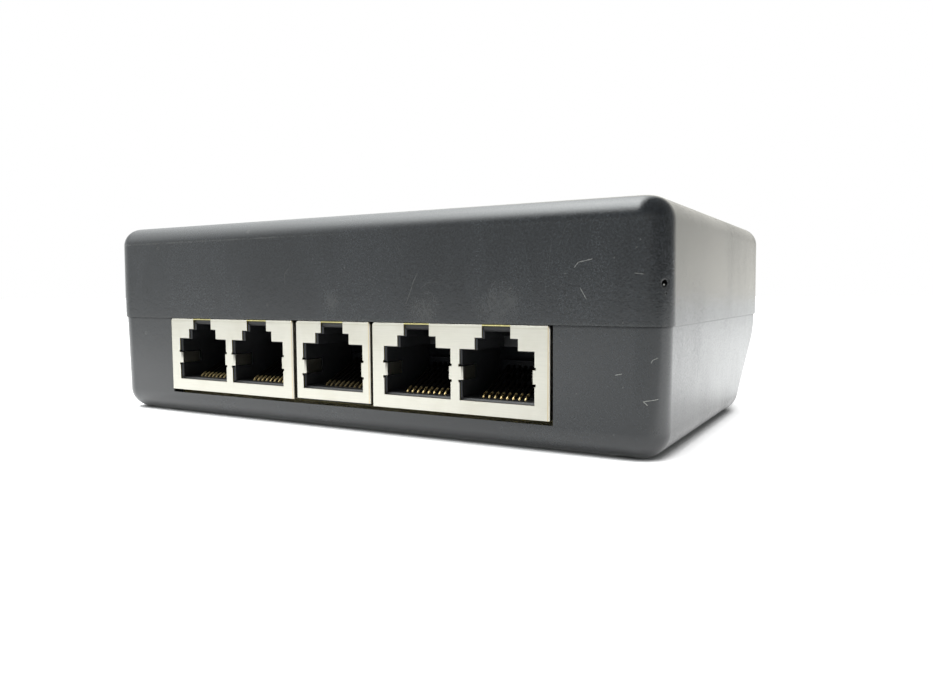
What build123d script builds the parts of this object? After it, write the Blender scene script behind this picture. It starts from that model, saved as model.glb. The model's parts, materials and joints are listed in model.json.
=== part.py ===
"""Five-port distribution box: a two-part moulded case around a board with shielded 8P8C jacks.

Millimetres. The box stands on Z = 0 with its origin at the bottom centre of its bounding box,
+X along the front from left to right, -Y out of the front face with the jacks, +Z up.
"""

import os
from dataclasses import dataclass
from math import cos, radians, sin, sqrt, tan

from build123d import *

# Case, sizes over the outside at the parting line
case_width = 112.0
case_depth = 73.0
upper_height = 17.6
side_wall = 2.2
floor_wall = 1.8
roof_wall = 2.2
overhang = 0.3               # the upper shell stands out this far over the lower one, all round
draft = 0.6                  # degrees, away from the parting line on both shells
corner_radius = 4.5          # upright corners of the upper shell
top_edge_radius = 3.5
bottom_edge_radius = 4.0
belly_start = 1.2            # the lower shell's rear wall is upright this far down, ...
belly_radius = 8.0           # ... curves in under the case with this radius ...
belly_angle = 53.5           # ... through this angle, and runs straight to the floor from there

# Tongue on the lower shell's rim and the rebate for it in the upper shell
tongue_thickness = 0.9
tongue_height = 1.2
tongue_setback = 0.15        # from the inside of the wall that carries it
tongue_clearance = 0.1

# Circuit board and its seats
board_thickness = 1.6
board_standoff = 1.35        # from the inside of the floor to the board
board_width = 86.0
board_edge_clearance = 0.5
rest_rib_thickness = 1.5
rest_rib_setback = 2.4       # from the board's front edge to the rib that carries it
pin_protrusion = 0.6         # of every pin below the board
pin_hole = 0.6               # across the square holes for the wires' tails
post_sides = 8               # screw shanks, pegs, posts and their holes are drawn with flats ...
disc_sides = 16              # ... and so are screw heads and the fuses

# Jacks
port_pitch = 13.97           # between the two ports of a double jack
jack_height = 13.6           # shield over the board
jack_depth = 21.0
single_width = 15.8
double_width = 31.05
jack_gap = 0.6               # between neighbouring jacks
centre_shift = 0.15          # the middle jack sits this far right of the case's centre
jack_top_clearance = 0.05    # under the parting line
window_side_gap = 0.3        # between the jacks and the case's cut-out
window_bottom_gap = 0.65
sheet = 0.25                 # shield metal
shield_edge_radius = 0.5     # along the folds between the top and the sides
face_edge_chamfer = 0.12     # along the folds round the face
shield_clearance = 0.08      # between a shield and its housing

# Shield window, heights over the board
window_bottom = 2.05
window_top = 9.85
shoulder_top = 11.6
shoulder_width = 7.15
latch_width = 4.7
window_lip = 0.35            # how much of the housing's front shows inside the window's lower edge
window_rim = 0.17            # the same at its sides and upper edges
latch_bar = 0.8              # the housing's bar across the top of the latch slot
notch_size = 0.4             # relief above and below each grounding leaf
leaf_reach = 0.5             # a grounding leaf stands in from the window's side edge
leaf_length = 4.2
leaf_pocket_clearance = 0.6

# Housing and contact carrier
housing_depth = 12.9
latch_slot_depth = 9.0
carrier_gap = 0.1            # between the housing and the carrier, and the carrier and the back plate
peg_radius = 1.6
peg_clearance = 0.05
peg_depth = 8.9              # behind the jack's face
shield_leg_width = 1.5
shield_leg_depths = (7.1, 16.9)
leg_clearance = 0.12

# Contacts: eight spring wires in each port
wire_count = 8
wire_pitch = 1.016
wire_width = 0.46
wire_thickness = 0.3
wire_slot_clearance = 0.05
run_height = 0.75            # of a wire's run under the housing, over the board
hook_radius = 1.05           # of the bend that turns a wire up and back into the port
hook_corners = 3             # the bend is drawn as straight lengths with this many corners
hook_depth = 3.6             # behind the jack's face
spring_tilt = 24.0           # degrees, rising to the rear at rest
spring_length = 8.9
spring_gap = 0.03            # between the bend and the sprung length that swings on it
tail_depths = (15.4, 17.94)  # the two rows of solder tails; neighbours take turns
comb_reach = 1.8             # of the carrier's comb into the port
comb_bridge = 0.7
comb_stop_clearance = 0.05

# Screws
case_screw_radius = 1.45
case_screw_length = 12.0
case_screw_head_radius = 2.8
case_screw_head_height = 2.0
case_screw_seat = 9.0        # height of the seat under each head
case_screw_clearance = 0.25
thread_clearance = 0.05
head_clearance = 0.3
boss_radius = 4.3
boss_floor = 3.5             # of plastic over the seat
boss_inset = 6.0             # from the case's faces to a boss's axis
upper_boss_radius = 3.2
boss_joint_gap = 0.1
boss_board_gap = 1.5
gusset_thickness = 1.5
board_screw_radius = 1.1
board_screw_grip = 2.0       # in the standoff
board_screw_head_radius = 2.2
board_screw_head_height = 1.5
standoff_radius = 3.0
standoff_gap = 4.0           # from the jacks' back, or the board's rear edge, to a board screw
standoff_inset = 5.0         # from the board's side edges
recess_depth = 1.0           # of the cross in a case screw's head
driver_size = 0.7

# Ribs in the upper shell that hold the jacks down
stay_thickness = 1.4
stay_clearance = 0.15
stay_depths = (5.0, 16.0)    # behind the jacks' face

# Resettable fuses
fuse_radius = 3.8
fuse_thickness = 3.1
fuse_lead = 0.5              # across a lead, drawn square
fuse_lead_spacing = 5.1
fuse_stand = 1.0             # of lead between the board and the disc
fuse_setback = 9.5           # behind the jacks

# Heights and places that follow
board_bottom = floor_wall + board_standoff
board_top = board_bottom + board_thickness
parting = board_top + jack_height + jack_top_clearance
shell_front = -case_depth / 2 + overhang     # the lower shell's face at the parting line
jack_front = -case_depth / 2                 # the jacks' faces are flush with the upper shell's
jack_back = jack_front + jack_depth
inner_front = shell_front + side_wall
tongue_outside = overhang + side_wall - tongue_setback - tongue_thickness
board_front = inner_front + board_edge_clearance
pin_bottom = -board_thickness - pin_protrusion


@dataclass
class Jack:
    """One shielded jack: its name, place and ports, and how its shield's window differs."""

    name: str
    x: float
    ports: tuple
    width: float
    window_width: float
    leaf_centre: float
    leaf_height: float
    face_bottom: float

    def port_offsets(self):
        middle = (len(self.ports) - 1) / 2
        return [(port - self.ports[0] - middle) * port_pitch for port in self.ports]

    def plane(self, depth=0.0, height=0.0):
        """Upright plane facing out of the box: X to the right, Y up from the board."""
        return Plane((self.x, jack_front + depth, board_top + height), (1, 0, 0), (0, -1, 0))

    def side_plane(self, x=0.0):
        """Plane seen from the right: X to the rear from the jack's face, Y up from the board."""
        return Plane((self.x + x, jack_front, board_top), (0, 1, 0), (1, 0, 0))

    def floor_plane(self, height=0.0):
        """Level plane over the board: Y to the rear from the jack's face."""
        return Plane((self.x, jack_front, board_top + height), (1, 0, 0), (0, 0, 1))


double_offset = (single_width + double_width) / 2 + jack_gap
JACKS = [
    Jack("left", -double_offset, (1, 2), double_width, 12.4, 6.15, 2.0, 0.0),
    Jack("centre", centre_shift, (3,), single_width, 12.75, 5.75, 2.3, 0.3),
    Jack("right", double_offset, (4, 5), double_width, 12.4, 6.15, 2.0, 0.0),
]
block_half_width = double_offset + double_width / 2
wire_field = (wire_count + 1) * wire_pitch


def save(piece, name):
    piece.part.label = name
    export_step(piece.part, f"parts/{name}.step")


def outline(inset):
    """The case's rounded footprint, inset from the upper shell's outside."""
    RectangleRounded(case_width - 2 * inset, case_depth - 2 * inset, corner_radius - inset)


def corner_cut(radius):
    """How far from the corner a straight cut starts that touches a rounding of this radius."""
    return (2 - sqrt(2)) * radius


def cut_outline(inset):
    """The case's footprint inside the shells, where the corners are cut straight."""
    width = case_width - 2 * inset
    depth = case_depth - 2 * inset
    side = (width + depth - 2 * corner_cut(corner_radius - inset)) / sqrt(2)
    Rectangle(width, depth)
    Rectangle(side, side, rotation=45, mode=Mode.INTERSECT)


def lid_form(inset, height, edge_radius=0.0):
    """Solid block of the upper shell's form, inset on all sides, standing on the parting line.

    With no edge radius its upright corners are cut straight, as they are inside the shell.
    """
    with BuildPart() as form:
        with BuildSketch(Plane.XY.offset(parting)):
            if edge_radius:
                outline(inset)
            else:
                cut_outline(inset)
        extrude(amount=height, taper=draft)
        if edge_radius:
            fillet(form.faces().sort_by(Axis.Z)[-1].edges(), edge_radius)
    return form.part


def belly_point(inset, height):
    """Y of the sloping underside at a height, on a surface inset from the lower shell's outside."""
    radius = belly_radius - inset
    turn = radians(belly_angle)
    slope_top = parting - belly_start - radius * sin(turn)
    slope_start = -shell_front - belly_radius + radius * cos(turn)
    return slope_start - (slope_top - height) * tan(turn)


def tray_form(inset, floor, edge_radius=0.0):
    """Solid block of the lower shell's form: its side view crossed with its front view.

    With no edge radius its upright corners are cut straight, as they are inside the shell.
    """
    front = shell_front + inset
    half_width = case_width / 2 - overhang - inset
    radius = belly_radius - inset
    drop = (parting - floor) * tan(radians(draft))
    with BuildPart() as form:
        with BuildSketch(Plane.YZ):
            with BuildLine():
                belly_centre = (-shell_front - belly_radius, parting - belly_start)
                belly = CenterArc(belly_centre, radius, 0, -belly_angle)
                Polyline(
                    belly @ 1,
                    (belly_point(inset, floor), floor),
                    (front + drop, floor),
                    (front, parting),
                    (-shell_front - inset, parting),
                    belly @ 0,
                )
            make_face()
        extrude(amount=case_width / 2, both=True)
        with BuildSketch(Plane.XZ):
            with BuildLine():
                Polyline(
                    (-half_width, parting),
                    (half_width, parting),
                    (half_width - drop, floor),
                    (drop - half_width, floor),
                    close=True,
                )
            make_face()
        extrude(amount=case_depth / 2, both=True, mode=Mode.INTERSECT)
        sides = form.faces().sort_by(Axis.X)[0].edges() + form.faces().sort_by(Axis.X)[-1].edges()
        level = sides.filter_by(Plane.XY)
        upright = [edge for edge in sides if edge not in level]
        if edge_radius:
            fillet(upright, corner_radius - overhang - inset)
            fillet(form.faces().sort_by(Axis.Z)[0].edges(), edge_radius)
        else:
            chamfer(upright, corner_cut(corner_radius - overhang - inset))
    return form.part


# Places of the bosses and the board's seats
board_rear = belly_point(side_wall, board_bottom) - board_edge_clearance
board_depth = board_rear - board_front
boss_x = case_width / 2 - boss_inset
front_boss_y = -case_depth / 2 + boss_inset
rear_boss_y = board_rear + boss_board_gap + boss_radius
boss_places = [(x, y) for x in (-boss_x, boss_x) for y in (front_boss_y, rear_boss_y)]
lower_boss_top = case_screw_seat + boss_floor
upper_boss_bottom = lower_boss_top + boss_joint_gap
seat_x = board_width / 2 - standoff_inset
seat_ys = (jack_back + standoff_gap, board_rear - standoff_gap)
seat_places = [(x, y) for x in (-seat_x, seat_x) for y in seat_ys]
fuse_y = jack_back + fuse_setback
fuse_places = [
    (jack.x + x, fuse_y) for jack in JACKS if len(jack.ports) > 1 for x in jack.port_offsets()
]
fuse_leads = [
    (x + side * fuse_lead_spacing / 2, y) for x, y in fuse_places for side in (-1, 1)
]


def make_upper_shell():
    cavity = lid_form(side_wall, upper_height - roof_wall)
    roof_inside = parting + upper_height - roof_wall
    tongue_top = parting + tongue_height + tongue_clearance
    with BuildPart() as shell:
        add(lid_form(0.0, upper_height, top_edge_radius))
        add(cavity, mode=Mode.SUBTRACT)
        # rebate for the lower shell's tongue
        with BuildSketch(Plane.XY.offset(parting)):
            cut_outline(tongue_outside - tongue_clearance)
        extrude(amount=tongue_height + tongue_clearance, mode=Mode.SUBTRACT)
        # screw bosses, each tied to the side wall by a gusset
        with BuildSketch(Plane.XY.offset(upper_boss_bottom)):
            with Locations(*boss_places):
                RegularPolygon(upper_boss_radius, post_sides)
        extrude(amount=roof_inside - upper_boss_bottom + roof_wall / 2)
        gusset_length = boss_inset - side_wall / 2
        with BuildSketch(Plane.XY.offset(tongue_top + tongue_height)):
            for x, y in boss_places:
                side = 1 if x > 0 else -1
                with Locations((x + side * gusset_length / 2, y)):
                    Rectangle(gusset_length, gusset_thickness)
        extrude(amount=roof_inside - tongue_top - tongue_height + roof_wall / 2)
        # ribs over the jacks
        stay_bottom = board_top + jack_height + stay_clearance
        with BuildSketch(Plane.XY.offset(stay_bottom)):
            with Locations(*[(0, jack_front + depth) for depth in stay_depths]):
                Rectangle(2 * block_half_width, stay_thickness)
        extrude(amount=roof_inside - stay_bottom + roof_wall / 2)
        # screw holes
        hole_depth = case_screw_seat + case_screw_length + boss_floor / 2 - upper_boss_bottom
        with BuildSketch(Plane.XY.offset(upper_boss_bottom)):
            with Locations(*boss_places):
                RegularPolygon(case_screw_radius + thread_clearance, post_sides)
        extrude(amount=hole_depth, mode=Mode.SUBTRACT)
    return shell


def make_lower_shell():
    outside = tray_form(0.0, 0.0, bottom_edge_radius)
    cavity = tray_form(side_wall, floor_wall)
    with BuildPart() as bosses:
        with BuildSketch():
            with Locations(*boss_places):
                RegularPolygon(boss_radius, post_sides)
        extrude(amount=lower_boss_top)
        add(outside, mode=Mode.INTERSECT)
    with BuildPart() as shell:
        add(outside)
        add(cavity, mode=Mode.SUBTRACT)
        # tongue round the rim
        with BuildSketch(Plane.XY.offset(parting)):
            cut_outline(tongue_outside)
            with BuildSketch(mode=Mode.SUBTRACT):
                cut_outline(tongue_outside + tongue_thickness)
        extrude(amount=tongue_height)
        # cut-out for the jacks, open at the parting line
        window_height = jack_height + jack_top_clearance + window_bottom_gap
        with BuildSketch(Plane.XZ.offset(-board_front)):
            with Locations((0, parting - window_height)):
                Rectangle(
                    2 * (block_half_width + window_side_gap),
                    window_height + tongue_height,
                    align=(Align.CENTER, Align.MIN),
                )
        extrude(amount=board_front - shell_front, mode=Mode.SUBTRACT)
        # rib under the board's front edge, and standoffs for its screws
        with BuildSketch(Plane.XY.offset(floor_wall / 2)):
            with Locations((0, board_front + rest_rib_setback)):
                Rectangle(board_width, rest_rib_thickness)
            with Locations(*seat_places):
                RegularPolygon(standoff_radius, post_sides)
        extrude(amount=board_bottom - floor_wall / 2)
        with BuildSketch(Plane.XY.offset(board_bottom)):
            with Locations(*seat_places):
                RegularPolygon(board_screw_radius + thread_clearance, post_sides)
        extrude(amount=-board_screw_grip - thread_clearance, mode=Mode.SUBTRACT)
        # screw bosses, sunk from below for the heads
        add(bosses.part)
        with BuildSketch():
            with Locations(*boss_places):
                RegularPolygon(case_screw_head_radius + head_clearance, disc_sides)
        extrude(amount=case_screw_seat, mode=Mode.SUBTRACT)
        with BuildSketch(Plane.XY.offset(case_screw_seat)):
            with Locations(*boss_places):
                RegularPolygon(case_screw_radius + case_screw_clearance, post_sides)
        extrude(amount=boss_floor, mode=Mode.SUBTRACT)
    return shell


def make_circuit_board():
    with BuildPart() as board:
        with BuildSketch(Plane.XY.offset(board_bottom)):
            with Locations((0, board_front + board_depth / 2)):
                Rectangle(board_width, board_depth)
            with Locations(*seat_places):
                RegularPolygon(board_screw_radius + leg_clearance, post_sides, mode=Mode.SUBTRACT)
            with Locations(*fuse_leads):
                Rectangle(
                    fuse_lead + leg_clearance, fuse_lead + leg_clearance, mode=Mode.SUBTRACT
                )
            for jack in JACKS:
                legs, pegs, tails = jack_pins(jack)
                with Locations(*legs):
                    Rectangle(
                        sheet + 2 * leg_clearance, shield_leg_width + leg_clearance, mode=Mode.SUBTRACT
                    )
                with Locations(*pegs):
                    RegularPolygon(peg_radius + peg_clearance, post_sides, mode=Mode.SUBTRACT)
                with Locations(*tails):
                    Rectangle(pin_hole, pin_hole, mode=Mode.SUBTRACT)
        extrude(amount=board_thickness)
    return board


def jack_pins(jack):
    """Places over the board of a jack's shield legs, housing pegs and solder tails."""
    side = (jack.width - sheet) / 2
    legs = [(jack.x + x, jack_front + d) for x in (-side, side) for d in shield_leg_depths]
    pegs = [(jack.x + x, jack_front + peg_depth) for x in peg_offsets(jack)]
    tails = [
        (jack.x + x, jack_front + tail_depths[index % 2])
        for port in jack.port_offsets()
        for index, x in enumerate(wire_offsets(port))
    ]
    return legs, pegs, tails


def wire_offsets(port):
    """X of each wire of the port at this offset."""
    return [port + (index - (wire_count - 1) / 2) * wire_pitch for index in range(wire_count)]


def peg_offsets(jack):
    """X of the two pegs under a housing, clear of the wires on both sides."""
    reach = jack.width / 2 - sheet - shield_clearance - peg_radius - peg_clearance
    return (-reach, reach)


def window_outline(jack, rim=0.0, lip=0.0, bar=0.0):
    """Stepped outline of every port of a jack, drawn inset by a rim, a lip below and a bar above."""
    steps = [
        (jack.window_width - 2 * rim, window_top - rim),
        (shoulder_width - 2 * rim, shoulder_top - rim),
        (latch_width - 2 * rim, jack_height - sheet - bar),
    ]
    bottom = window_bottom + lip
    for width, top in steps:
        with Locations(*[(x, bottom) for x in jack.port_offsets()]):
            Rectangle(width, top - bottom, align=(Align.CENTER, Align.MIN))


def make_shield(jack):
    """Folded sheet round a housing: face, top, sides, legs, and two grounding leaves in each port."""
    with BuildPart() as shield:
        with BuildSketch(jack.plane(height=jack.face_bottom)):
            Rectangle(
                jack.width, jack_height - jack.face_bottom, align=(Align.CENTER, Align.MIN)
            )
        extrude(amount=-jack_depth)
        fillet(shield.edges().filter_by(Axis.Y).group_by(Axis.Z)[-1], shield_edge_radius)
        chamfer(shield.faces().sort_by(Axis.Y)[0].edges().sort_by(Axis.Z)[1:], face_edge_chamfer)
        # hollow, open at the back and below
        with BuildSketch(jack.plane(depth=sheet, height=jack.face_bottom)):
            Rectangle(
                jack.width - 2 * sheet,
                jack_height - jack.face_bottom - sheet,
                align=(Align.CENTER, Align.MIN),
            )
        extrude(amount=-jack_depth, mode=Mode.SUBTRACT)
        # windows, with a relief notch above and below each leaf
        with BuildSketch(jack.plane()):
            window_outline(jack)
            notch_rise = (jack.leaf_height + notch_size) / 2
            for x in jack.port_offsets():
                for rise in (-notch_rise, notch_rise):
                    with Locations((x, jack.leaf_centre + rise)):
                        Rectangle(jack.window_width + notch_size, notch_size)
        extrude(amount=-sheet, mode=Mode.SUBTRACT)
        # grounding leaves, folded back into the port from the window's sides
        for x in jack.port_offsets():
            for side in (-1, 1):
                with BuildSketch(jack.floor_plane(jack.leaf_centre - jack.leaf_height / 2)):
                    edge = x + side * jack.window_width / 2
                    tip = edge - side * leaf_reach
                    with BuildLine():
                        Polyline(
                            (edge + side * sheet, 0),
                            (tip + side * sheet, 0),
                            (tip, sheet),
                            (tip, leaf_length),
                            (tip + side * sheet, leaf_length),
                            (tip + side * sheet, 2 * sheet),
                            (edge + side * sheet, sheet),
                            close=True,
                        )
                    make_face()
                extrude(amount=jack.leaf_height)
        # legs down through the board
        with BuildSketch(jack.floor_plane(pin_bottom)):
            leg_x = (jack.width - sheet) / 2
            with Locations(*[(x, d) for x in (-leg_x, leg_x) for d in shield_leg_depths]):
                Rectangle(sheet, shield_leg_width)
        extrude(amount=-pin_bottom + shield_leg_width)
    return shield


def make_shield_back(jack):
    """Plate that closes the back of a shield."""
    width = jack.width - 2 * sheet - 2 * shield_clearance
    height = jack_height - sheet - shield_clearance
    with BuildPart() as plate:
        with BuildSketch(jack.plane(depth=jack_depth - sheet)):
            Rectangle(width, height, align=(Align.CENTER, Align.MIN))
        extrude(amount=-sheet)
    return plate


def make_housing(jack):
    """Moulded front block: a stepped hollow for each plug, over grooves for the wires."""
    inset = sheet + shield_clearance
    width = jack.width - 2 * inset
    height = jack_height - inset
    floor_top = window_bottom + window_lip
    groove = wire_width + 2 * wire_slot_clearance
    with BuildPart() as housing:
        with BuildSketch(jack.plane(depth=inset)):
            Rectangle(width, height, align=(Align.CENTER, Align.MIN))
        extrude(amount=inset - housing_depth)
        # plug hollows right through, and the latch slots over them
        with BuildSketch(jack.plane(depth=inset)):
            for x in jack.port_offsets():
                with Locations((x, floor_top)):
                    Rectangle(
                        jack.window_width - 2 * window_rim,
                        window_top - window_rim - floor_top,
                        align=(Align.CENTER, Align.MIN),
                    )
        extrude(amount=-housing_depth, mode=Mode.SUBTRACT)
        with BuildSketch(jack.plane(depth=inset)):
            window_outline(jack, window_rim, window_lip, latch_bar)
        extrude(amount=-latch_slot_depth, mode=Mode.SUBTRACT)
        # pockets for the grounding leaves to spring into
        leaf_height = jack.leaf_height + 2 * leg_clearance
        pocket_width = jack.window_width + 2 * sheet + leaf_pocket_clearance
        with BuildSketch(jack.plane(depth=inset, height=jack.leaf_centre - leaf_height / 2)):
            with Locations(*[(x, 0) for x in jack.port_offsets()]):
                Rectangle(pocket_width, leaf_height, align=(Align.CENTER, Align.MIN))
        extrude(amount=inset - leaf_length - leaf_pocket_clearance, mode=Mode.SUBTRACT)
        # a recess under each floor, and slots through it where the wires turn up
        wires = [x for port in jack.port_offsets() for x in wire_offsets(port)]
        slot_front = hook_depth - hook_reach() - wire_slot_clearance
        slot_length = hook_depth + hook_reach() - slot_front
        with BuildSketch(jack.floor_plane()):
            with Locations(*[(x, slot_front) for x in jack.port_offsets()]):
                Rectangle(wire_field, housing_depth, align=(Align.CENTER, Align.MIN))
        extrude(amount=run_height + wire_thickness, mode=Mode.SUBTRACT)
        with BuildSketch(jack.floor_plane()):
            with Locations(*[(x, slot_front) for x in wires]):
                Rectangle(groove, slot_length, align=(Align.CENTER, Align.MIN))
        extrude(amount=floor_top, mode=Mode.SUBTRACT)
        # pegs into the board
        with BuildSketch(jack.floor_plane(pin_bottom)):
            with Locations(*[(x, peg_depth) for x in peg_offsets(jack)]):
                RegularPolygon(peg_radius, post_sides)
        extrude(amount=-pin_bottom)
    return housing


def make_carrier(jack):
    """Rear block of a jack: a comb that guides the wires' tips, and channels for their tails."""
    inset = sheet + shield_clearance
    front = housing_depth + carrier_gap
    back = jack_depth - sheet - carrier_gap
    groove = wire_width + 2 * wire_slot_clearance
    floor_top = window_bottom + window_lip
    tip_height = spring_start()[1] + spring_length * sin(radians(spring_tilt))
    bridge_bottom = tip_height + wire_thickness / 2 + comb_stop_clearance
    wires = [x for port in jack.port_offsets() for x in wire_offsets(port)]
    with BuildPart() as carrier:
        with BuildSketch(jack.plane(depth=front)):
            Rectangle(jack.width - 2 * inset, jack_height - inset, align=(Align.CENTER, Align.MIN))
        extrude(amount=front - back)
        # comb: a block into each port, slotted for the wires below its bridge
        with BuildSketch(jack.plane(depth=front, height=floor_top + carrier_gap)):
            with Locations(*[(x, 0) for x in jack.port_offsets()]):
                Rectangle(
                    wire_field,
                    bridge_bottom + comb_bridge - floor_top,
                    align=(Align.CENTER, Align.MIN),
                )
        extrude(amount=comb_reach)
        with BuildSketch(jack.plane(depth=front, height=floor_top)):
            with Locations(*[(x, 0) for x in wires]):
                Rectangle(groove, bridge_bottom - floor_top, align=(Align.CENTER, Align.MIN))
        extrude(amount=comb_reach, mode=Mode.SUBTRACT)
        # a recess over the runs and tails of each port
        with BuildSketch(jack.floor_plane()):
            with Locations(*[(x, front) for x in jack.port_offsets()]):
                Rectangle(wire_field, back - front, align=(Align.CENTER, Align.MIN))
        extrude(amount=run_height + wire_thickness, mode=Mode.SUBTRACT)
    return carrier


def spring_start():
    """Depth and height at which a wire's sprung length leaves the bend, on its centre line."""
    angle = radians(90 + spring_tilt)
    return (
        hook_depth + hook_radius * cos(angle),
        run_height + hook_radius + hook_radius * sin(angle),
    )


def hook_step():
    """Angle between the corners of a wire's bend, which turns from the run to the spring's tilt."""
    return radians(180 - spring_tilt) / hook_corners


def hook_reach():
    """How far a bend's outer side reaches from its centre, at its corners."""
    return (hook_radius + wire_thickness / 2) / cos(hook_step() / 2)


def hook_points():
    """Corners of a wire's bend, outside the circle that its straight lengths touch."""
    reach = hook_radius / cos(hook_step() / 2)
    turns = [hook_step() * (corner + 1 / 2) for corner in range(hook_corners)]
    return [
        (hook_depth - reach * sin(turn), run_height + hook_radius - reach * cos(turn))
        for turn in turns
    ]


def make_contacts(jack, port):
    """The soldered part of a port's eight wires: tail, run under the housing, and bend."""
    with BuildPart() as contacts:
        for index, x in enumerate(wire_offsets(port)):
            tail_depth = tail_depths[index % 2]
            with BuildSketch(jack.side_plane(x - wire_width / 2)):
                with BuildLine():
                    Polyline(
                        (tail_depth, pin_bottom),
                        (tail_depth, run_height),
                        *hook_points(),
                        spring_start(),
                    )
                trace(line_width=wire_thickness)
            extrude(amount=wire_width)
    return contacts


def make_springs(jack, port):
    """The sprung lengths of a port's eight wires, which rise into the port from their bends."""
    depth, height = spring_start()
    rise = radians(spring_tilt)
    with BuildPart() as springs:
        for x in wire_offsets(port):
            with BuildSketch(jack.side_plane(x - wire_width / 2)):
                with BuildLine():
                    Line(
                        (depth + spring_gap * cos(rise), height + spring_gap * sin(rise)),
                        (depth + spring_length * cos(rise), height + spring_length * sin(rise)),
                    )
                trace(line_width=wire_thickness)
            extrude(amount=wire_width)
    return springs


def make_case_screws():
    with BuildPart() as screws:
        with BuildSketch(Plane.XY.offset(case_screw_seat)):
            with Locations(*boss_places):
                RegularPolygon(case_screw_radius, post_sides)
        extrude(amount=case_screw_length)
        with BuildSketch(Plane.XY.offset(case_screw_seat)):
            with Locations(*boss_places):
                RegularPolygon(case_screw_head_radius, disc_sides)
        extrude(amount=-case_screw_head_height)
        with BuildSketch(Plane.XY.offset(case_screw_seat - case_screw_head_height)):
            with Locations(*boss_places):
                Rectangle(2 * case_screw_radius, driver_size)
                Rectangle(driver_size, 2 * case_screw_radius)
        extrude(amount=recess_depth, mode=Mode.SUBTRACT)
    return screws


def make_board_screws():
    """Hexagon-headed screws that hold the board on its standoffs."""
    with BuildPart() as screws:
        with BuildSketch(Plane.XY.offset(board_bottom - board_screw_grip)):
            with Locations(*seat_places):
                RegularPolygon(board_screw_radius, post_sides)
        extrude(amount=board_thickness + board_screw_grip)
        with BuildSketch(Plane.XY.offset(board_top)):
            with Locations(*seat_places):
                RegularPolygon(board_screw_head_radius, 6)
        extrude(amount=board_screw_head_height)
    return screws


def make_fuses():
    """Resettable fuses: upright discs on two leads, one behind each outer port."""
    with BuildPart() as fuses:
        with BuildSketch(Plane.XZ.offset(-fuse_y - fuse_thickness / 2)):
            with Locations(*[(x, board_top + fuse_stand + fuse_radius) for x, _ in fuse_places]):
                RegularPolygon(fuse_radius, disc_sides)
        extrude(amount=fuse_thickness)
        with BuildSketch(Plane.XY.offset(board_top + pin_bottom)):
            with Locations(*fuse_leads):
                Rectangle(fuse_lead, fuse_lead)
        extrude(amount=fuse_stand + fuse_thickness / 2 - pin_bottom)
    return fuses


def main():
    os.makedirs("parts", exist_ok=True)
    save(make_upper_shell(), "upper_shell")
    save(make_lower_shell(), "lower_shell")
    save(make_circuit_board(), "circuit_board")
    for jack in JACKS:
        save(make_shield(jack), f"{jack.name}_shield")
        save(make_shield_back(jack), f"{jack.name}_shield_back")
        save(make_housing(jack), f"{jack.name}_housing")
        save(make_carrier(jack), f"{jack.name}_contact_carrier")
        for port, x in zip(jack.ports, jack.port_offsets()):
            save(make_contacts(jack, x), f"port_{port}_contacts")
            save(make_springs(jack, x), f"port_{port}_springs")
    save(make_case_screws(), "case_screws")
    save(make_board_screws(), "board_screws")
    save(make_fuses(), "resettable_fuses")


main()
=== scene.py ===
"""Finishes for a distribution box: grained black case, plated jack shields, gilt wires, on a pale floor."""
import json
import math

import bmesh
import bpy
from bpy.props import FloatProperty, FloatVectorProperty, IntProperty, PointerProperty
from bpy.types import Operator, Panel, PropertyGroup
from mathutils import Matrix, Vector


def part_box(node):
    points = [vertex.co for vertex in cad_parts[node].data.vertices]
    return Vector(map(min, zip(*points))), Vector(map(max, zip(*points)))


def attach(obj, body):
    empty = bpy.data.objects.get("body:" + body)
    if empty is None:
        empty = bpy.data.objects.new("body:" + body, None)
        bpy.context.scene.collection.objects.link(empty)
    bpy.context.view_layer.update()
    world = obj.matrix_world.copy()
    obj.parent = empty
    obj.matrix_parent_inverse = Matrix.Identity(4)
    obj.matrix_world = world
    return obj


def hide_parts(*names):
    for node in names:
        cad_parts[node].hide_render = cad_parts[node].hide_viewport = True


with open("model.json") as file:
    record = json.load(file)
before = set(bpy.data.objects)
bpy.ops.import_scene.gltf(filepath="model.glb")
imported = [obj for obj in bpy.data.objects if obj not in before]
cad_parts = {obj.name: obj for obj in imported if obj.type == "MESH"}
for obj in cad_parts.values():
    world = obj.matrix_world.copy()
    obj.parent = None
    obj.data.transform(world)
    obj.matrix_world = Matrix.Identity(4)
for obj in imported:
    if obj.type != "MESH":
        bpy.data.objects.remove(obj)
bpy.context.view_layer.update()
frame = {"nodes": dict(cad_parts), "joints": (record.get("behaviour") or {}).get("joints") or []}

bl_info = {
    "name": "Distribution Box Finishes",
    "version": (1, 0, 0),
    "blender": (4, 5, 0),
    "location": "3D View > Sidebar > Box",
    "description": "Dresses a five-port distribution box with moulded, plated and gilt finishes",
    "category": "Material",
}

MM = 0.001
PAINTED_SHADE_BLACK = (0.002, 0.002, 0.002)
WHITE = (1.0, 1.0, 1.0)
SHELLS = ("upper_shell", "lower_shell")
JACKS = {"left": (1, 2), "centre": (3,), "right": (4, 5)}
PORTS = (1, 2, 3, 4, 5)

# Case, sizes as made
WALL_DRAFT = math.radians(0.6)
CORNER_RADIUS = 4.5 * MM      # of the upper shell's upright corners
EDGE_RADIUS = 3.5 * MM        # between the upper shell's walls and its top
TONGUE_HEIGHT = 1.2 * MM      # of the lower shell's rim over the parting line

# Wires, sizes as made: eight in a port, seen from the side as tail, heel, run, bend and sprung length
WIRE_COUNT = 8
WIRE_WIDTH = 0.46 * MM
RUN_HEIGHT = 0.75 * MM
BEND_RADIUS = 1.05 * MM
HEEL_RADIUS = 0.8 * MM
SPRING_TILT = math.radians(24)
SPRING_LENGTH = 8.9 * MM
SPRING_GAP = 0.03 * MM
TAIL_STAGGER = 2.54 * MM
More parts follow.
